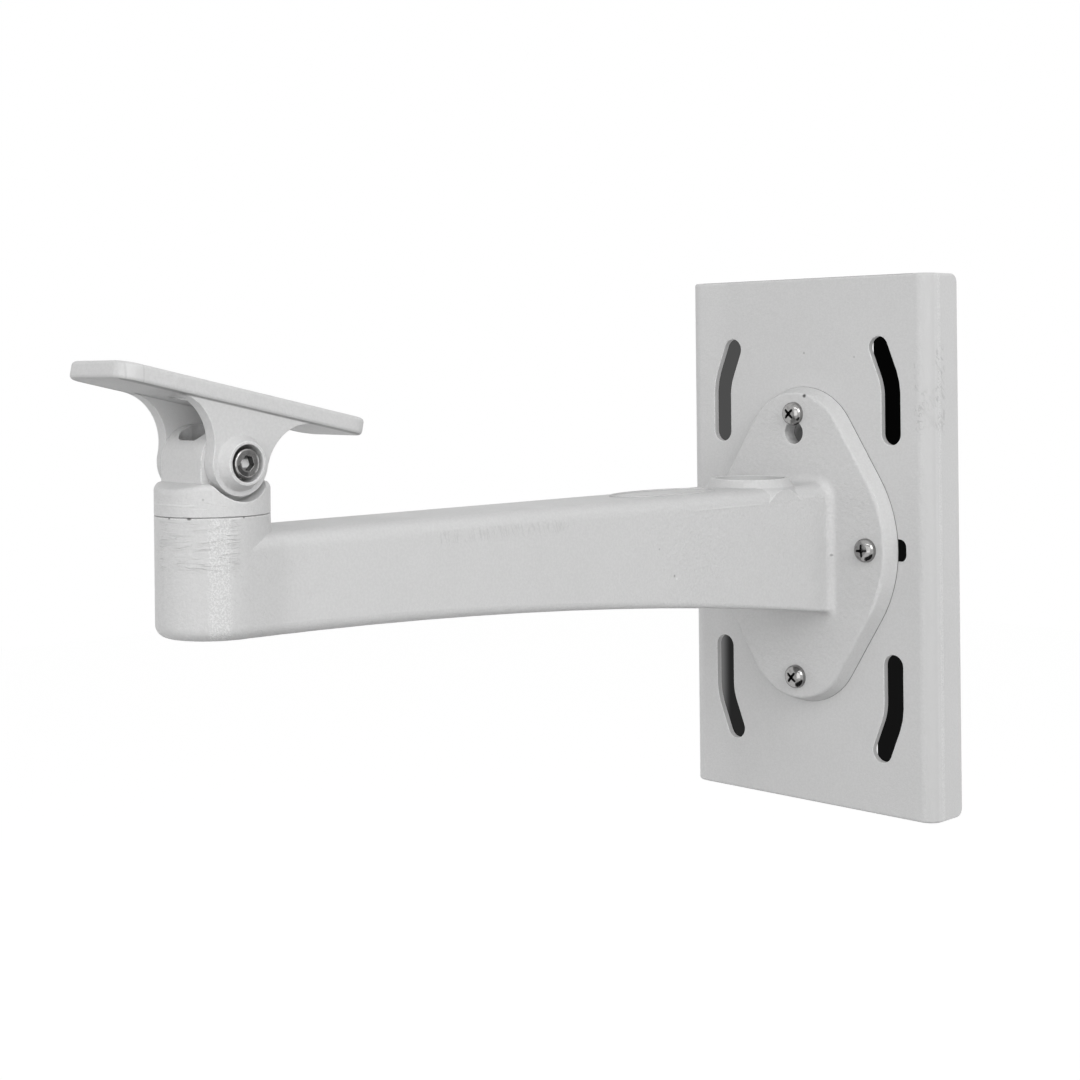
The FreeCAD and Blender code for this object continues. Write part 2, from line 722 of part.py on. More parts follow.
def pan_lock_screw():
    """Socket set screw in the barrel's far side. Its tip runs in the spigot's groove."""
    tip = spigot_radius - spigot_groove_depth + lock_tip_clearance
    outer = barrel_radius - face_clearance
    screw = cylinder(vec(-outer, 0, 0), vec(1, 0, 0), shank_radius, outer - tip)
    socket = hexagon(-outer - 1, lock_screw_key, 1 + lock_screw_key)
    return moved(screw.cut(socket), vec(0, barrel_y, lock_screw_z() - arm_drop))


def main():
    os.makedirs("parts", exist_ok=True)
    parts = {
        "back_plate": back_plate(),
        "arm_casting": arm_casting(),
        "swivel_knuckle": swivel_knuckle(),
        "tilt_head": tilt_head(),
        "pivot_screw": pivot_screw(),
        "pivot_washer": pivot_washer(),
        "pivot_nut": pivot_nut(),
        "pan_lock_screw": pan_lock_screw(),
    }
    for name, place in zip(("top", "right", "bottom", "left"), screw_places()):
        parts["flange_screw_" + name] = flange_screw(place)
        parts["flange_washer_" + name] = flange_washer(place)
        parts["flange_nut_" + name] = flange_nut(place)
    for node, shape in parts.items():
        shape.exportStep("parts/" + node + ".step")


main()
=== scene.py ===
import math

import bpy
from mathutils import Matrix, Vector


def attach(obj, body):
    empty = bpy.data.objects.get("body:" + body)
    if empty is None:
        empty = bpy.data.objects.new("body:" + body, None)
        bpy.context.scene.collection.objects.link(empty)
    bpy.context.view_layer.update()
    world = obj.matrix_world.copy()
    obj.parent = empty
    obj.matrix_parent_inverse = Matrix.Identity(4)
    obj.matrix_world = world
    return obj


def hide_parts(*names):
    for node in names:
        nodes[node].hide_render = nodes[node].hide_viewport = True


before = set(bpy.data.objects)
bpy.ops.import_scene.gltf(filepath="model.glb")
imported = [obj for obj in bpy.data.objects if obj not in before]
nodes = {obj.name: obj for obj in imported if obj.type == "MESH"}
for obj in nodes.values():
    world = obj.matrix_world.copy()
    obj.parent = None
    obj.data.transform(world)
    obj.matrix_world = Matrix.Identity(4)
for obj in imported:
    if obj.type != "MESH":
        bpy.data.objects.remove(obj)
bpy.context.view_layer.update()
scene = bpy.context.scene


class Nodes:
    """A small helper to build a material's node tree line by line."""

    def __init__(self, name):
        self.mat = bpy.data.materials.new(name)
        self.mat.use_nodes = True
        self.tree = self.mat.node_tree
        self.tree.nodes.clear()
        self.out = self.tree.nodes.new("ShaderNodeOutputMaterial")

    def add(self, kind, **values):
        """Adds a node. Keys that are inputs are set or linked, others are properties."""
        node = self.tree.nodes.new("ShaderNode" + kind)
        for key, value in values.items():
            if hasattr(node, key):
                setattr(node, key, value)
        for key, value in values.items():
            if not hasattr(node, key):
                self.put(node, key, value)
        return node

    def put(self, node, key, value):
        name = key.replace("_", " ")
        socket = next((s for s in node.inputs if s.name == name and s.enabled), None)
        if socket is None:
            socket = node.inputs[int(key[1:])]
        if isinstance(value, bpy.types.NodeSocket):
            self.tree.links.new(value, socket)
        else:
            socket.default_value = value

    def math(self, operation, a, b=0.0, clamp=False):
        node = self.tree.nodes.new("ShaderNodeMath")
        node.operation = operation
        node.use_clamp = clamp
        for i, value in enumerate((a, b)):
            if isinstance(value, bpy.types.NodeSocket):
                self.tree.links.new(value, node.inputs[i])
            else:
                node.inputs[i].default_value = value
        return node.outputs[0]

    def band(self, value, low, high, soft_low, soft_high):
        """1 between low and high, falling to 0 over the two soft widths."""
        up = self.ramp(value, low - soft_low, low)
        down = self.ramp(value, high + soft_high, high)
        return self.math("MULTIPLY", up, down)

    def ramp(self, value, start, end):
        """0 at start and 1 at end, smoothly."""
        node = self.add("MapRange", interpolation_type="SMOOTHSTEP", clamp=True)
        self.tree.links.new(value, node.inputs["Value"])
        low, high = (start, end) if start < end else (end, start)
        node.inputs["From Min"].default_value = low
        node.inputs["From Max"].default_value = high
        node.inputs["To Min"].default_value = 0.0 if start < end else 1.0
        node.inputs["To Max"].default_value = 1.0 if start < end else 0.0
        return node.outputs["Result"]

    def noise(self, vector, scale, detail=2.0, rough=0.5):
        node = self.add("TexNoise", Vector=vector, Scale=scale, Detail=detail, Roughness=rough)
        return node.outputs["Fac"]

    def mix(self, factor, a, b):
        node = self.tree.nodes.new("ShaderNodeMix")
        node.data_type = "RGBA"
        sockets = [s for s in node.inputs if s.enabled]
        by_name = {s.name: s for s in sockets}
        for name, value in (("Factor", factor), ("A", a), ("B", b)):
            if isinstance(value, bpy.types.NodeSocket):
                self.tree.links.new(value, by_name[name])
            else:
                by_name[name].default_value = value
        return next(s for s in node.outputs if s.enabled)


def grey(value, warm=0.0):
    return (value * (1 + warm), value, value * (1 - warm), 1.0)


def seam_line(n, along, place, half_width, ragged):
    """1 on a thin line where a coordinate is near a place, with a ragged edge."""
    coords = n.add("TexCoord").outputs["Object"]
    wobble = n.math("MULTIPLY", n.math("SUBTRACT", n.noise(coords, 260.0, 3.0, 0.6), 0.5), ragged)
    away = n.math("ABSOLUTE", n.math("SUBTRACT", n.math("ADD", along, wobble), place))
    return n.ramp(away, half_width * 1.8, half_width * 0.6)


def creases(n, vector, scale, width, detail=1.0):
    """Thin wandering lines, 1 on the line: where a noise crosses its middle value."""
    away = n.math("ABSOLUTE", n.math("SUBTRACT", n.noise(vector, scale, detail, 0.5), 0.5))
    return n.ramp(away, width, width * 0.2)


def stretched(n, x, y, z, factors):
    """The place with each coordinate scaled, so that a noise on it runs long in one direction."""
    node = n.add("CombineXYZ")
    for i, (value, factor) in enumerate(zip((x, y, z), factors)):
        if factor:
            n.tree.links.new(n.math("MULTIPLY", value, factor), node.inputs[i])
    return node.outputs[0]


def spot(n, place, centre, radius, reach=(1.0, 1.0, 1.0)):
    """1 near a point of the surface, fading to 0 at the radius. A reach below 1 lengthens it that way."""
    scaled = n.add("VectorMath", operation="MULTIPLY")
    n.tree.links.new(place, scaled.inputs[0])
    scaled.inputs[1].default_value = reach
    offset = n.add("VectorMath", operation="DISTANCE")
    n.tree.links.new(scaled.outputs[0], offset.inputs[0])
    offset.inputs[1].default_value = [c * r for c, r in zip(centre, reach)]
    return n.ramp(offset.outputs["Value"], radius, radius * 0.3)


def powder_coat(name, tone=0.60, extras=None):
    """Matt light grey powder coat: orange peel, shallow dents, small pits, and a painted highlight as a thin light rim
    on sharp outer edges.
    """
    n = Nodes(name)
    place = n.add("TexCoord").outputs["Object"]
    cloud = n.noise(place, 24.0, 4.0, 0.6)
    fine = n.noise(place, 950.0, 3.0, 0.6)
    peel = n.noise(place, 1500.0, 2.0, 0.6)
    dents = n.noise(place, 520.0, 2.0, 0.5)
    wave = n.noise(place, 90.0, 3.0, 0.5)
    colour = n.mix(n.ramp(cloud, 0.3, 0.7), grey(tone * 0.98), grey(tone * 1.015))
    colour = n.mix(n.ramp(fine, 0.40, 0.62), n.mix(0.6, colour, grey(tone * 0.97)), n.mix(0.6, colour, grey(tone * 1.045)))
    pits = n.add("TexVoronoi", Vector=place, Scale=210.0, Randomness=1.0)
    rare = n.ramp(n.noise(place, 55.0, 2.0, 0.5), 0.56, 0.66)
    pit = n.math("MULTIPLY", n.ramp(pits.outputs["Distance"], 0.16, 0.06), rare)
    height = n.math("ADD", n.math("MULTIPLY", peel, 0.00018), n.math("MULTIPLY", wave, 0.00035))
    height = n.math("SUBTRACT", height, n.math("MULTIPLY", pit, 0.00006))
    patches = n.ramp(n.noise(place, 17.0, 2.0, 0.5), 0.42, 0.60)
    height = n.math("ADD", height, n.math("MULTIPLY", n.math("MULTIPLY", dents, patches), 0.00030))
    edges = n.add("Bevel", Radius=0.0007, samples=4)
    facing = n.add("VectorMath", operation="DOT_PRODUCT")
    n.tree.links.new(edges.outputs["Normal"], facing.inputs[0])
    n.tree.links.new(n.add("NewGeometry").outputs["Normal"], facing.inputs[1])
    open_air = n.add("AmbientOcclusion", Distance=0.0015, samples=4).outputs["AO"]
    # Painted highlight: a thin light rim along sharp outer edges, kept off inner corners by the occlusion.
    painted_edge_highlight = n.math("MULTIPLY", n.ramp(facing.outputs["Value"], 0.997, 0.960), n.ramp(open_air, 0.80, 0.96))
    painted_edge_highlight = n.math("MULTIPLY", painted_edge_highlight, n.ramp(n.noise(place, 620.0, 2.0, 0.5), 0.28, 0.52))
    colour = n.mix(n.math("MULTIPLY", painted_edge_highlight, 0.85), colour, grey(tone * 1.50))
    if extras:
        colour, height = extras(n, place, colour, height, tone)
    bump = n.add("Bump", Strength=0.6, Distance=1.0, Height=height, Normal=edges.outputs["Normal"])
    shader = n.add("BsdfPrincipled", Base_Color=colour, Normal=bump.outputs["Normal"])
    rough = n.ramp(n.noise(place, 40.0, 2.0, 0.5), 0.2, 0.8)
    n.tree.links.new(n.math("ADD", n.math("MULTIPLY", rough, 0.08), 0.42), shader.inputs["Roughness"])
    n.tree.links.new(shader.outputs[0], n.out.inputs["Surface"])
    return n.mat


def coordinates(n, place):
    split = n.add("SeparateXYZ")
    n.tree.links.new(place, split.inputs[0])
    return split.outputs


def around_barrel(n, x, y):
    """The angle round the barrel, 0 at the front, growing towards the right."""
    return n.math("ARCTAN2", x, n.math("SUBTRACT", -0.364, y))


def add_height(n, height, pattern, where, amount):
    return n.math("ADD", height, n.math("MULTIPLY", n.math("MULTIPLY", pattern, where), amount))


def shade(n, colour, where, amount):
    """The colour made lighter or darker by the amount where the mask is 1."""
    factor = n.math("ADD", 1.0, n.math("MULTIPLY", where, amount - 1.0))
    return n.add("HueSaturation", Color=colour, Value=factor).outputs["Color"]


def plate_marks(n, place, colour, height, tone):
    """A painted highlight as a grainy line by the right bend, scratches there, painted shade on the bend and on the
    slot walls, painted light on the side flange and the left part, specks, and painted shade behind the keyhole.
    """
    x, y, z = coordinates(n, place)
    where = n.math("MULTIPLY", n.band(z, 0.058, 0.088, 0.010, 0.006), n.ramp(x, 0.0615, 0.0635))
    where = n.math("MULTIPLY", where, n.ramp(y, -0.0105, -0.0130))
    normal = coordinates(n, n.add("NewGeometry").outputs["Normal"])
    outside = n.ramp(n.math("SUBTRACT", normal[0], normal[1]), 0.2, 0.6)
    where = n.math("MULTIPLY", where, outside)
    leaning = stretched(n, x, n.math("ADD", y, n.math("MULTIPLY", z, 0.6)), z, (1.0, 1.0, 0.4))
    marks = n.math("MULTIPLY", creases(n, leaning, 420.0, 0.07, 2.0), n.ramp(n.noise(place, 120.0, 4.0, 0.6), 0.48, 0.54))
    marks = n.math("MULTIPLY", marks, where)
    height = add_height(n, height, marks, 1.0, -0.00018)
    colour = n.mix(n.math("MULTIPLY", marks, 0.6), colour, grey(tone * 0.66))
    # Painted shade: the middle of the right bend is darker, which tones down its highlight.
    bend_shade = n.math("MULTIPLY", n.band(x, 0.0672, 0.0700, 0.0020, 0.0004), n.ramp(y, -0.0180, -0.0190))
    bend_shade = n.math("MULTIPLY", bend_shade, outside)
    colour = n.mix(n.math("MULTIPLY", bend_shade, 0.8), colour, grey(tone * 0.93))
    # Painted highlight: a grainy light line on the side flange just past the right bend, over a real grain bump.
    bend_highlight = n.math("MULTIPLY", n.band(y, -0.0168, -0.0152, 0.0008, 0.0008), n.ramp(x, 0.0696, 0.0702))
    grain = n.noise(place, 1500.0, 3.0, 0.65)
    height = add_height(n, height, grain, bend_highlight, 0.00025)
    colour = n.mix(n.math("MULTIPLY", bend_highlight, n.ramp(grain, 0.42, 0.60)), colour, grey(tone * 1.17))
    # Painted light: the side flange, the left part of the plate and its lower left edge are a little lighter.
    colour = shade(n, colour, n.ramp(x, 0.0698, 0.0703), 1.05)
    colour = shade(n, colour, n.ramp(x, -0.040, -0.056), 1.04)
    colour = shade(n, colour, n.math("MULTIPLY", n.ramp(x, -0.0620, -0.0665), n.ramp(z, 0.05, -0.02)), 1.10)
    # Painted shade on the slot walls, the cut edges seen inside the slots.
    slot_wall_shade = n.math("MULTIPLY", n.band(y, -0.0236, -0.0213, 0.0001, 0.0001), n.ramp(n.math("ABSOLUTE", x), 0.0625, 0.0615))
    colour = n.mix(slot_wall_shade, colour, grey(tone * 0.68))
    # The first spot is painted shade on the plate behind the flange's keyhole; the other two are small dark specks.
    for centre, radius, value, share in (
        ((-0.001, -0.024, 0.0500), 0.0085, 0.06, 0.90),
        ((0.0006, -0.024, 0.0893), 0.0008, 0.25, 0.6),
        ((0.0295, -0.024, 0.0871), 0.0007, 0.25, 0.5),
    ):
        colour = n.mix(n.math("MULTIPLY", spot(n, place, centre, radius), share), colour, grey(value))
    return colour, height


def casting_marks(n, place, colour, height, tone):
    """Painted shade and light on the barrel and arm, chatter marks of the barrel with a painted highlight band, file
    marks of the arm, the seam's grime, a painted pale keyhole wall, painted shade in the boss's dish and at its foot, a
    painted highlight along a crease, a painted contact shadow and a few nicks.
    """
    x, y, z = coordinates(n, place)
    turn = around_barrel(n, x, y)
    on_barrel = n.ramp(y, -0.345, -0.352)
    # Painted shade: the barrel's right side is a little darker.
    colour = shade(n, colour, n.math("MULTIPLY", on_barrel, n.ramp(turn, 0.3, 0.8)), 0.955)
    on_arm = n.math("MULTIPLY", n.ramp(y, -0.350, -0.335), n.ramp(y, -0.040, -0.050))
    # Painted light on the arm's sides and painted shade on its top.
    colour = shade(n, colour, n.math("MULTIPLY", on_arm, n.ramp(z, 0.0270, 0.0200)), 1.04)
    colour = shade(n, colour, n.math("MULTIPLY", on_arm, n.ramp(z, 0.0255, 0.0275)), 0.965)
    low_group = n.band(z, 0.0180, 0.0275, 0.003, 0.003)
    high_group = n.math("MULTIPLY", n.band(z, 0.0300, 0.0330, 0.001, 0.001), 0.6)
    where = n.math("MULTIPLY", n.math("MAXIMUM", low_group, high_group), n.band(turn, -0.1, 1.35, 0.1, 0.15))
    where = n.math("MULTIPLY", where, on_barrel)
    round_it = stretched(n, turn, y, z, (0.0024, 0.0, 1.0))
    patchy = stretched(n, turn, y, z, (0.0060, 0.0, 1.0))
    where = n.math("MULTIPLY", where, n.ramp(n.noise(patchy, 330.0, 2.0, 0.5), 0.42, 0.56))
    lines = creases(n, round_it, 640.0, 0.035)
    height = add_height(n, height, n.noise(round_it, 900.0, 2.0, 0.5), where, 0.00040)
    height = add_height(n, height, lines, where, -0.00022)
    colour = n.mix(n.math("MULTIPLY", n.math("MULTIPLY", lines, where), 0.42), colour, grey(tone * 0.70))
    # Painted highlight: a grainy light band down the barrel where it turns to the side, over a real grain bump.
    highlight_band = n.math("MULTIPLY", n.band(turn, 0.94, 1.20, 0.12, 0.14), on_barrel)
    grain = n.noise(place, 1700.0, 2.0, 0.6)
    height = add_height(n, height, grain, highlight_band, 0.00022)
    colour = n.mix(n.math("MULTIPLY", highlight_band, n.ramp(grain, 0.46, 0.60)), colour, grey(tone * 1.16))
    beside = n.math("MULTIPLY", n.ramp(y, -0.378, -0.372), n.ramp(y, -0.290, -0.330))
    slanted = stretched(n, turn, n.math("ADD", y, n.math("MULTIPLY", z, 0.45)), z, (0.0, 1.0, 0.30))
    dents = n.math("MULTIPLY", creases(n, slanted, 420.0, 0.03), n.ramp(n.noise(place, 260.0), 0.54, 0.62))
    height = add_height(n, height, dents, beside, -0.00012)
    peel = n.noise(place, 640.0, 2.0, 0.55)
    height = add_height(n, height, peel, n.ramp(y, -0.230, -0.130), 0.00050)
    file_where = n.math("MULTIPLY", n.band(y, -0.275, -0.215, 0.012, 0.02), n.band(z, 0.0195, 0.0222, 0.003, 0.0012))
    along_arm = stretched(n, x, n.math("ADD", y, n.math("MULTIPLY", z, 0.25)), z, (0.0, 1.0, 0.12))
    files = creases(n, along_arm, 620.0, 0.05)
    height = add_height(n, height, files, file_where, -0.00016)
    colour = n.mix(n.math("MULTIPLY", n.math("MULTIPLY", files, file_where), 0.30), colour, grey(tone * 0.80))
    seam = n.math("MULTIPLY", seam_line(n, z, 0.0342, 0.00016, 0.0004), on_barrel)
    colour = n.mix(n.math("MULTIPLY", seam, 0.4), colour, grey(0.20))
    # Painted light: the keyhole's inner wall is made pale where light falls on it.
    keyhole_wall_light = n.math("MULTIPLY", spot(n, place, (0.0, -0.0285, 0.0515), 0.0075), n.ramp(y, -0.0327, -0.0323))
    colour = n.mix(n.math("MULTIPLY", keyhole_wall_light, 0.8), colour, grey(0.85))
    off_axis = n.add("VectorMath", operation="DISTANCE")
    n.tree.links.new(stretched(n, x, y, z, (1.0, 1.0, 0.0)), off_axis.inputs[0])
    off_axis.inputs[1].default_value = (0.0, -0.0657, 0.0)
    off_boss = off_axis.outputs["Value"]
    # Painted shade in the boss's dish.
    dish_shade = n.math("MULTIPLY", n.ramp(off_boss, 0.0168, 0.0163), n.ramp(z, 0.03178, 0.0315))
    dish_shade = n.math("MULTIPLY", dish_shade, n.ramp(z, 0.022, 0.024))
    colour = n.mix(n.math("MULTIPLY", dish_shade, 0.55), colour, grey(tone * 0.62))
    cone = n.math("ABSOLUTE", n.math("SUBTRACT", n.math("ADD", off_boss, n.math("MULTIPLY", z, 0.579)), 0.03611))
    on_cone = n.ramp(cone, 0.00022, 0.00012)
    # Painted shade: the boss's cone is darker where it runs down the arm's rounded edge, which tones down its
    # highlight.
    boss_foot_shade = n.math("MULTIPLY", on_cone, n.ramp(n.math("ABSOLUTE", x), 0.0130, 0.0160))
    boss_foot_shade = n.math("MULTIPLY", boss_foot_shade, n.band(z, 0.0245, 0.0272, 0.0015, 0.0012))
    colour = shade(n, colour, boss_foot_shade, 0.93)
    # Painted shade on the cone's foot.
    cone_foot_shade = n.math("MULTIPLY", on_cone, n.band(z, 0.0271, 0.0278, 0.0003, 0.0004))
    colour = n.mix(cone_foot_shade, colour, grey(tone * 0.86))
    # Painted highlight: a light line along the crease where the arm's top fillet meets its side, with a small real
    # bump.
    crease_highlight = n.math("ABSOLUTE", n.math("SUBTRACT", z, 0.0213))
    crease_highlight = n.math("MULTIPLY", n.ramp(crease_highlight, 0.0006, 0.0001), n.band(y, -0.125, -0.086, 0.008, 0.006))
    height = add_height(n, height, crease_highlight, n.ramp(x, 0.0180, 0.0190), 0.00015)
    colour = n.mix(n.math("MULTIPLY", n.math("MULTIPLY", crease_highlight, 0.5), n.ramp(x, 0.0180, 0.0190)), colour, grey(tone * 1.14))
    # Painted shadow: a dark contact line on the flange's back where it meets the plate.
    contact_shadow = n.ramp(y, -0.02442, -0.02418)
    colour = n.mix(n.math("MULTIPLY", contact_shadow, 0.9), colour, grey(0.05))
    flat = (0.15, 1.0, 1.0)
    for centre, radius, value, share, reach in (
        ((0.0029, -0.3838, 0.0340), 0.0006, 0.08, 0.8, (1.0, 1.0, 1.0)),
        ((0.0106, -0.3810, 0.0340), 0.0007, 0.08, 0.9, (0.6, 0.6, 1.0)),
        ((0.0200, -0.3652, 0.0341), 0.0006, 0.08, 0.8, (1.0, 1.0, 1.0)),
        ((0.0190, -0.1429, -0.0055), 0.0009, 0.22, 0.7, flat),
        ((0.0190, -0.1415, -0.0068), 0.0009, 0.90, 0.5, flat),
        ((0.0190, -0.1524, 0.0066), 0.0007, 0.30, 0.5, flat),
        ((0.0220, -0.0330, -0.0053), 0.0009, 0.20, 0.7, (0.6, 1.0, 1.0)),
        ((0.0232, -0.0330, -0.0062), 0.0008, 0.90, 0.6, (0.6, 1.0, 1.0)),
        ((0.0064, -0.0330, 0.0690), 0.0013, 0.03, 0.95, (1.0, 0.2, 1.0)),
        ((0.0098, -0.0524, 0.0312), 0.0010, 0.12, 0.8, (1.0, 1.0, 1.0)),
    ):
        colour = n.mix(n.math("MULTIPLY", spot(n, place, centre, radius, reach), share), colour, grey(value))
    return colour, height


def knuckle_marks(n, place, colour, height, tone):
    """A fine ridge round the front of the shoulder with a painted highlight along it, turning marks and the grime of
    the seam.
    """
    x, y, z = coordinates(n, place)
    turn = around_barrel(n, x, y)
    seam = seam_line(n, z, 0.0343, 0.00016, 0.0004)
    colour = n.mix(n.math("MULTIPLY", seam, 0.4), colour, grey(0.20))
    wobble = n.math("MULTIPLY", n.math("SUBTRACT", n.noise(place, 120.0, 2.0, 0.5), 0.5), 0.0007)
    away = n.math("ABSOLUTE", n.math("SUBTRACT", n.math("ADD", z, wobble), 0.0384))
    # A real fine ridge, with a painted highlight along it.
    ridge_with_highlight = n.math("MULTIPLY", n.ramp(away, 0.0005, 0.0001), n.band(turn, -0.6, 0.62, 0.2, 0.12))
    height = add_height(n, height, ridge_with_highlight, 1.0, 0.00010)
    colour = n.mix(n.math("MULTIPLY", ridge_with_highlight, 0.45), colour, grey(tone * 1.16))
    round_it = stretched(n, turn, y, z, (0.0030, 0.0, 1.0))
    lines = creases(n, round_it, 480.0, 0.03)
    where = n.math("MULTIPLY", n.band(z, 0.0360, 0.0430, 0.001, 0.001), n.ramp(n.noise(place, 190.0), 0.52, 0.62))
    height = add_height(n, height, lines, where, -0.00010)
    colour = n.mix(n.math("MULTIPLY", spot(n, place, (0.0144, -0.3779, 0.0404), 0.0006), 0.6), colour, grey(0.30))
    return colour, height


def head_marks(n, place, colour, height, tone):
    """The flat where the bar was cut from its casting gate, a painted shadow under the bar's lip, painted shade on the
    end and the underside, painted light between the ears, and rough cast edges.
    """
    tilt = math.radians(12.2)
    x, y, z = coordinates(n, place)
    side = n.math("MULTIPLY", n.ramp(x, 0.0165, 0.0172), n.band(y, -0.4085, -0.4032, 0.0003, 0.0003))
    side = n.math("MULTIPLY", side, n.ramp(z, 0.074, 0.076))
    colour = n.mix(n.math("MULTIPLY", side, 0.8), colour, grey(tone * 1.03))
    for edge in (-0.4088, -0.4029):
        line = n.ramp(n.math("ABSOLUTE", n.math("SUBTRACT", y, edge)), 0.00045, 0.0001)
        line = n.math("MULTIPLY", line, n.ramp(x, 0.0150, 0.0165))
        line = n.math("MULTIPLY", line, n.ramp(z, 0.074, 0.076))
        colour = n.mix(n.math("MULTIPLY", line, 0.35), colour, grey(tone * 0.70))
    up = n.math("ADD", n.math("MULTIPLY", n.math("ADD", y, 0.364), math.sin(tilt)), n.math("MULTIPLY", n.math("SUBTRACT", z, 0.0523), math.cos(tilt)))
    # Painted shadow: a dark line under the bar's lip, outside the ears.
    lip_shadow = n.ramp(n.math("ABSOLUTE", n.math("SUBTRACT", up, 0.0188)), 0.0005, 0.0002)
    lip_shadow = n.math("MULTIPLY", lip_shadow, n.ramp(n.math("ABSOLUTE", x), 0.0142, 0.0150))
    colour = n.mix(n.math("MULTIPLY", lip_shadow, 0.8), colour, grey(tone * 0.55))
    # Painted shade: the bar's end face is a little darker.
    colour = shade(n, colour, n.ramp(y, -0.4085, -0.4110), 0.96)
    # Painted shade on the bar's underside towards its end.
    underside_shade = n.ramp(n.math("ABSOLUTE", n.math("SUBTRACT", up, 0.0188)), 0.0006, 0.0003)
    colour = shade(n, colour, n.math("MULTIPLY", underside_shade, n.ramp(y, -0.378, -0.390)), 0.78)
    # Painted light in the gap between the ears.
    between_ears_light = n.math("MULTIPLY", n.ramp(n.math("ABSOLUTE", x), 0.0122, 0.0121), n.ramp(y, -0.350, -0.376))
    between_ears_light = n.math("MULTIPLY", n.math("MULTIPLY", between_ears_light, n.ramp(up, 0.0187, 0.0183)), n.ramp(y, -0.398, -0.394))
    colour = n.mix(between_ears_light, colour, grey(tone * 1.28))
    grain = n.noise(place, 1300.0, 3.0, 0.6)
    height = n.math("ADD", height, n.math("MULTIPLY", grain, 0.00010))
    return colour, height


def cross_recess_shade(n, place, colour):
    """Painted shade: the cross recess painted black. The screw's own axis is the local Y, and its arms lie along X and
    Z.
    """
    x, y, z = [n.math("ABSOLUTE", c) if i != 1 else c for i, c in enumerate(coordinates(n, place))]
    arms = []
    for along, across in ((x, z), (z, x)):
        width = n.math("SUBTRACT", 0.00072, n.math("MULTIPLY", along, 0.12))
        inside = n.ramp(n.math("SUBTRACT", across, width), 0.00012, 0.0)
        arms.append(n.math("MULTIPLY", inside, n.ramp(along, 0.0031, 0.0028)))
    cross = n.math("MULTIPLY", n.math("MAXIMUM", arms[0], arms[1]), n.ramp(y, -0.0005, -0.0008))
    return n.mix(cross, colour, grey(0.012)), n.math("MULTIPLY", cross, 0.5)


def socket_marks(n, place, colour):
    """The pivot screw's head: the key socket painted dark as painted shade, a painted glint across the socket's floor,
    a painted dark reflection on the face and a painted highlight on the rim.
    """
    x, y, z = coordinates(n, place)
    right, up = n.math("SUBTRACT", y, -0.364), n.math("SUBTRACT", z, 0.0523)
    away = n.math("SQRT", n.math("ADD", n.math("MULTIPLY", right, right), n.math("MULTIPLY", up, up)))
    turn = n.math("ARCTAN2", up, right)
    on_head = n.ramp(x, 0.0165, 0.0172)
    # Painted shade: the socket's walls are dark.
    socket = n.math("MULTIPLY", n.math("MULTIPLY", n.ramp(away, 0.0031, 0.0029), n.ramp(x, 0.0208, 0.0206)), on_head)
    colour = n.mix(socket, colour, grey(0.045))
    # Painted shade on the socket's floor, with a painted glint across its middle; the floor is not metal.
    floor = n.math("MULTIPLY", n.math("MULTIPLY", n.ramp(away, 0.0031, 0.0029), n.ramp(x, 0.0179, 0.0178)), on_head)
    glint = n.ramp(n.math("ABSOLUTE", n.math("SUBTRACT", up, -0.0001)), 0.0018, 0.0011)
    colour = n.mix(floor, colour, n.mix(glint, grey(0.22), grey(1.0)))
    # Painted dark reflection on the lower left of the face.
    stain = n.math("MULTIPLY", n.band(away, 0.0031, 0.0042, 0.0002, 0.0003), n.band(turn, -2.9, -1.7, 0.2, 0.3))
    colour = n.mix(n.math("MULTIPLY", n.math("MULTIPLY", stain, on_head), 0.8), colour, grey(0.10))
    # Painted highlight on the right of the rim.
    chamfer_highlight = n.math("MULTIPLY", n.ramp(away, 0.0040, 0.0044), n.band(turn, -0.7, 0.5, 0.2, 0.2))
    return n.mix(n.math("MULTIPLY", chamfer_highlight, on_head), colour, grey(0.95)), n.math("SUBTRACT", 1.0, floor)


def plated_steel(name, tone=0.62, rough=0.22, wear=0.5, cross=False, socket=False):
    """Plated steel with faint turned grain, darker stains and fine scratches."""
    n = Nodes(name)
    place = n.add("TexCoord").outputs["Object"]
    fine = n.noise(place, 2600.0, 3.0, 0.6)
    stain = n.noise(place, 420.0, 3.0, 0.6)
    colour = n.mix(n.math("MULTIPLY", n.ramp(stain, 0.45, 0.7), wear), grey(tone, 0.01), grey(tone * 0.45, 0.02))
    rough_at = n.math("ADD", n.math("MULTIPLY", n.ramp(fine, 0.35, 0.7), 0.10), rough)
    if cross:
        colour, dull = cross_recess_shade(n, place, colour)
        rough_at = n.math("ADD", rough_at, dull)
    if socket:
        colour, metal = socket_marks(n, place, colour)
    shader = n.add("BsdfPrincipled", Base_Color=colour, Metallic=metal if socket else 1.0)
    n.tree.links.new(rough_at, shader.inputs["Roughness"])
    edges = n.add("Bevel", Radius=0.00025, samples=4)
    bump = n.add("Bump", Strength=0.35, Distance=0.00003, Height=fine, Normal=edges.outputs["Normal"])
    n.tree.links.new(bump.outputs["Normal"], shader.inputs["Normal"])
    n.tree.links.new(shader.outputs[0], n.out.inputs["Surface"])
    return n.mat


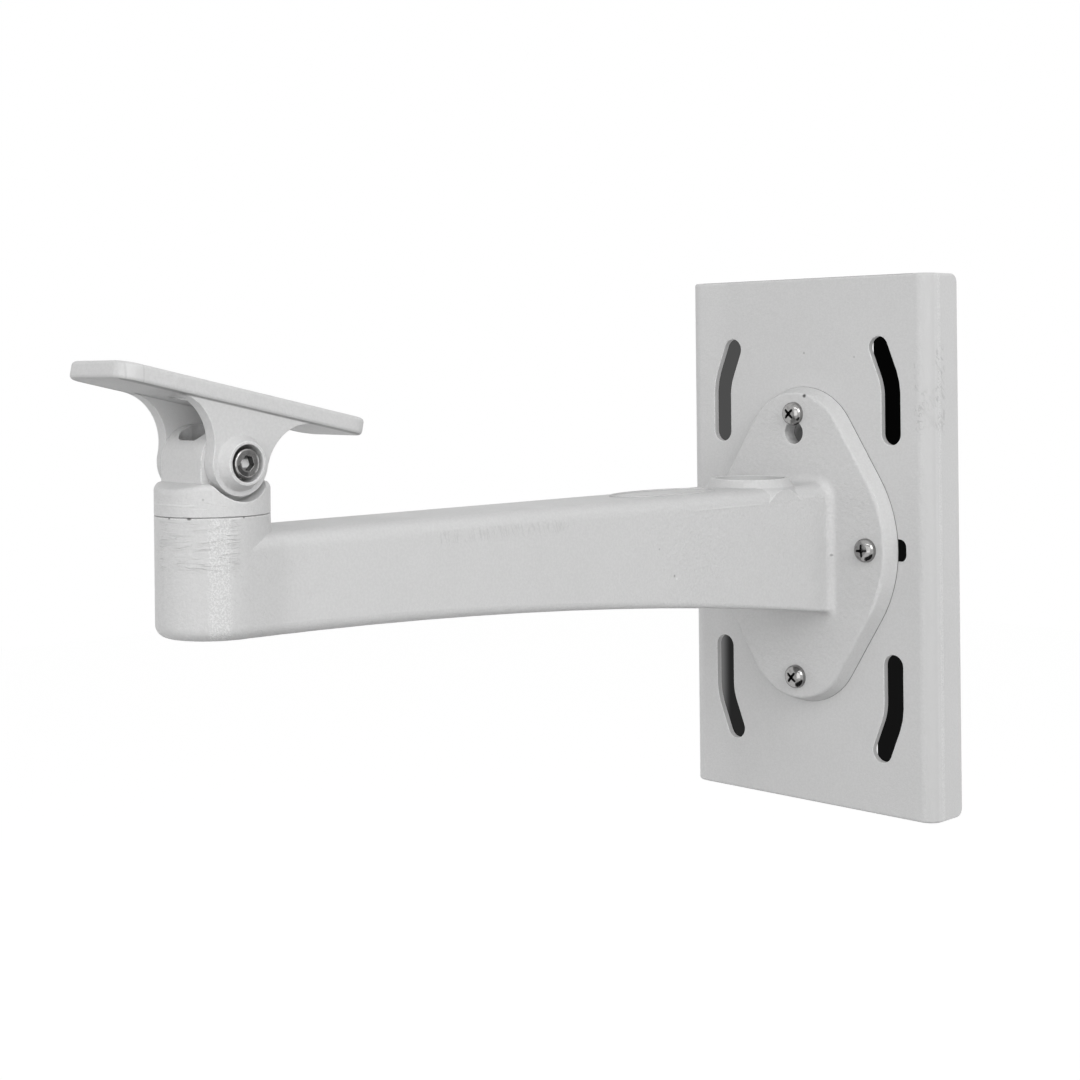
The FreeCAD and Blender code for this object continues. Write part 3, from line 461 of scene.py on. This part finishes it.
plate_coat = powder_coat("plate_coat", 0.60, plate_marks)
casting_coat = powder_coat("casting_coat", 0.60, casting_marks)
knuckle_coat = powder_coat("knuckle_coat", 0.60, knuckle_marks)
head_coat = powder_coat("head_coat", 0.60, head_marks)
bright_steel = plated_steel("bright_steel", 0.42, 0.14, socket=True)
screw_steel = plated_steel("screw_steel", 0.34, 0.13, 0.6, cross=True)
dark_steel = plated_steel("dark_steel", 0.06, 0.40)
by_node = {
    "back_plate": plate_coat,
    "arm_casting": casting_coat,
    "swivel_knuckle": knuckle_coat,
    "tilt_head": head_coat,
    "pan_lock_screw": dark_steel,
}
for name, node in nodes.items():
    for slot in node.material_slots:
        slot.material = by_node.get(name, screw_steel if name.startswith("flange_screw") else bright_steel)


def turned_screw(name, degrees):
    """Each flange screw was driven home at its own angle, so its cross is turned. The head is a little lower."""
    source = nodes[name]
    mesh = source.data.copy()
    mesh.transform(source.matrix_world)
    corners = [v.co for v in mesh.vertices]
    mid = Vector([(min(c[i] for c in corners) + max(c[i] for c in corners)) / 2 for i in range(3)])
    seat = Vector((mid.x, -0.033, mid.z))
    for vertex in mesh.vertices:
        place = vertex.co - seat
        if place.y < 0.00001 and math.hypot(place.x, place.z) > 0.0031 or place.y < -0.0001:
            place = Vector((place.x * 0.95, place.y * 0.86, place.z * 0.95))
        vertex.co = place
    screw = bpy.data.objects.new(name + "_turned", mesh)
    scene.collection.objects.link(screw)
    screw.matrix_world = Matrix.Translation(seat) @ Matrix.Rotation(math.radians(degrees), 4, "Y")
    mesh.materials.clear()
    mesh.materials.append(screw_steel)
    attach(screw, "mount")
    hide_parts(name)


for place_name, degrees in (("top", 45.0), ("right", -4.0), ("bottom", 40.0), ("left", 20.0)):
    turned_screw("flange_screw_" + place_name, degrees)


# Camera
az = math.radians(44.96)
roll = math.radians(0.60)
camera_data = bpy.data.cameras.new("camera")
camera = bpy.data.objects.new("camera", camera_data)
scene.collection.objects.link(camera)
scene.camera = camera
camera.matrix_world = (
    Matrix.Translation((0.5308, -0.7338, 0.0841))
    @ Matrix.Rotation(az, 4, "Z")
    @ Matrix.Rotation(math.pi / 2, 4, "X")
    @ Matrix.Rotation(-roll, 4, "Z")
)
camera_data.sensor_width = 36.0
camera_data.lens = 61.08
camera_data.shift_y = -0.1605
camera_data.clip_start = 0.01
camera_data.clip_end = 50.0


def area_light(name, place, target, size, power):
    data = bpy.data.lights.new(name, "AREA")
    data.energy = power
    data.shape = "RECTANGLE"
    data.size, data.size_y = size
    lamp = bpy.data.objects.new(name, data)
    scene.collection.objects.link(lamp)
    lamp.location = place
    lamp.rotation_euler = (Vector(target) - Vector(place)).to_track_quat("-Z", "Y").to_euler()
    return lamp


centre = (0.0, -0.18, 0.0)
area_light("key", (1.70, -0.51, 1.0), centre, (1.0, 1.0), 11.8)
area_light("fill", (0.82, -1.73, 0.25), centre, (1.5, 1.5), 8.0)
area_light("strip", (0.52, -1.00, 1.25), centre, (1.0, 0.16), 2.0)


def add_light_path(tree, kinds):
    """The largest of the named ray kinds, as one factor."""
    path = tree.nodes.new("ShaderNodeLightPath")
    factor = path.outputs[kinds[0]]
    for kind in kinds[1:]:
        both = tree.nodes.new("ShaderNodeMath")
        both.operation = "MAXIMUM"
        tree.links.new(factor, both.inputs[0])
        tree.links.new(path.outputs[kind], both.inputs[1])
        factor = both.outputs[0]
    return factor


def flat_mesh(name, corners, faces=None):
    mesh = bpy.data.meshes.new(name)
    mesh.from_pydata(corners, [], faces or [list(range(len(corners)))])
    obj = bpy.data.objects.new(name, mesh)
    scene.collection.objects.link(obj)
    return obj


def white_floor():
    """Pale studio floor, well below the bracket, which hangs on a wall. It shows as white and keeps shadows."""
    side = 6.0
    floor = flat_mesh("floor", [(-side, -side, -1.0), (side, -side, -1.0), (side, side, -1.0), (-side, side, -1.0)])
    n = Nodes("floor")
    pale = n.add("BsdfDiffuse", Color=grey(0.50))
    lift = n.add("Emission", Color=grey(1.0))
    seen = add_light_path(n.tree, ["Is Camera Ray", "Is Glossy Ray", "Is Transmission Ray"])
    n.tree.links.new(n.math("MULTIPLY", seen, 0.73), lift.inputs["Strength"])
    both = n.add("AddShader")
    n.tree.links.new(pale.outputs[0], both.inputs[0])
    n.tree.links.new(lift.outputs[0], both.inputs[1])
    n.tree.links.new(both.outputs[0], n.out.inputs["Surface"])
    floor.data.materials.append(n.mat)


def slot_shade_cards():
    """Glowing dark cards close behind the plate's slots: painted shade for what shows through them, lighter low on the
    left as painted light. From behind they can't be seen.
    """
    y = -0.0205
    areas = [(sx * 0.038, sx * 0.0605, -0.002 + sz * 0.045, -0.002 + sz * 0.103) for sx in (-1, 1) for sz in (-1, 1)]
    areas.append((0.0500, 0.0600, -0.0100, 0.0060))
    corners, faces = [], []
    for xa, xb, za, zb in areas:
        x0, x1, z0, z1 = min(xa, xb), max(xa, xb), min(za, zb), max(za, zb)
        faces.append([len(corners) + i for i in range(4)])
        corners += [(x0, y, z0), (x1, y, z0), (x1, y, z1), (x0, y, z1)]
    cards = flat_mesh("slot_shade_cards", corners, faces)
    n = Nodes("slot_shade_cards")
    x, y, z = coordinates(n, n.add("TexCoord").outputs["Object"])
    # Painted light on the far flange low on the left, fading to painted shade; the right cards are near black.
    low_left = n.mix(n.ramp(x, -0.0575, -0.0490), grey(0.20), grey(0.020))
    left = n.mix(n.ramp(z, -0.06, 0.06), low_left, grey(0.075))
    right = n.mix(n.ramp(z, -0.06, 0.06), grey(0.007), grey(0.0015))
    dark = n.add("Emission", Color=n.mix(n.ramp(x, -0.045, 0.02), left, right), Strength=1.0)
    clear = n.add("BsdfTransparent")
    front = n.math("SUBTRACT", 1.0, n.add("NewGeometry").outputs["Backfacing"])
    blend = n.add("MixShader", Fac=n.math("MULTIPLY", front, add_light_path(n.tree, ["Is Camera Ray"])))
    n.tree.links.new(clear.outputs[0], blend.inputs[1])
    n.tree.links.new(dark.outputs[0], blend.inputs[2])
    n.tree.links.new(blend.outputs[0], n.out.inputs["Surface"])
    cards.data.materials.append(n.mat)


def flag(name, corners, value):
    """Studio card that only gloss shows, for contrast on the screws."""
    card = flat_mesh(name, corners)
    n = Nodes(name)
    dark = n.add("Emission", Color=grey(value), Strength=1.0)
    clear = n.add("BsdfTransparent")
    blend = n.add("MixShader", Fac=add_light_path(n.tree, ["Is Glossy Ray"]))
    n.tree.links.new(clear.outputs[0], blend.inputs[1])
    n.tree.links.new(dark.outputs[0], blend.inputs[2])
    n.tree.links.new(blend.outputs[0], n.out.inputs["Surface"])
    card.data.materials.append(n.mat)


white_floor()
slot_shade_cards()
flag("flag_below", [(-0.10, -0.50, -0.45), (0.90, -0.50, -0.45), (0.90, 0.10, -0.45), (-0.10, 0.10, -0.45)], 0.02)
flag("flag_beside", [(0.35, 0.5, -0.45), (1.5, 0.5, -0.45), (1.5, 0.5, 0.55), (0.35, 0.5, 0.55)], 0.30)

world = bpy.data.worlds.new("world")
scene.world = world
world.use_nodes = True
tree = world.node_tree
tree.nodes.clear()
world_out = tree.nodes.new("ShaderNodeOutputWorld")
light = tree.nodes.new("ShaderNodeBackground")
direction = tree.nodes.new("ShaderNodeTexCoord")
height = tree.nodes.new("ShaderNodeSeparateXYZ")
tree.links.new(direction.outputs["Generated"], height.inputs[0])
fade = tree.nodes.new("ShaderNodeMapRange")
tree.links.new(height.outputs[2], fade.inputs["Value"])
fade.inputs["From Min"].default_value = 0.0
fade.inputs["From Max"].default_value = 1.0
fade.inputs["To Min"].default_value = 1.08
fade.inputs["To Max"].default_value = 0.25
light.inputs["Color"].default_value = (1.0, 1.0, 1.0, 1.0)
tree.links.new(fade.outputs["Result"], light.inputs["Strength"])
white = tree.nodes.new("ShaderNodeBackground")
white.inputs["Color"].default_value = (1.0, 1.0, 1.0, 1.0)
white.inputs["Strength"].default_value = 1.0
choose = tree.nodes.new("ShaderNodeMixShader")
seen = add_light_path(tree, ["Is Camera Ray", "Is Glossy Ray", "Is Transmission Ray"])
tree.links.new(seen, choose.inputs["Fac"])
tree.links.new(light.outputs[0], choose.inputs[1])
tree.links.new(white.outputs[0], choose.inputs[2])
tree.links.new(choose.outputs[0], world_out.inputs["Surface"])

scene.view_settings.view_transform = "Standard"
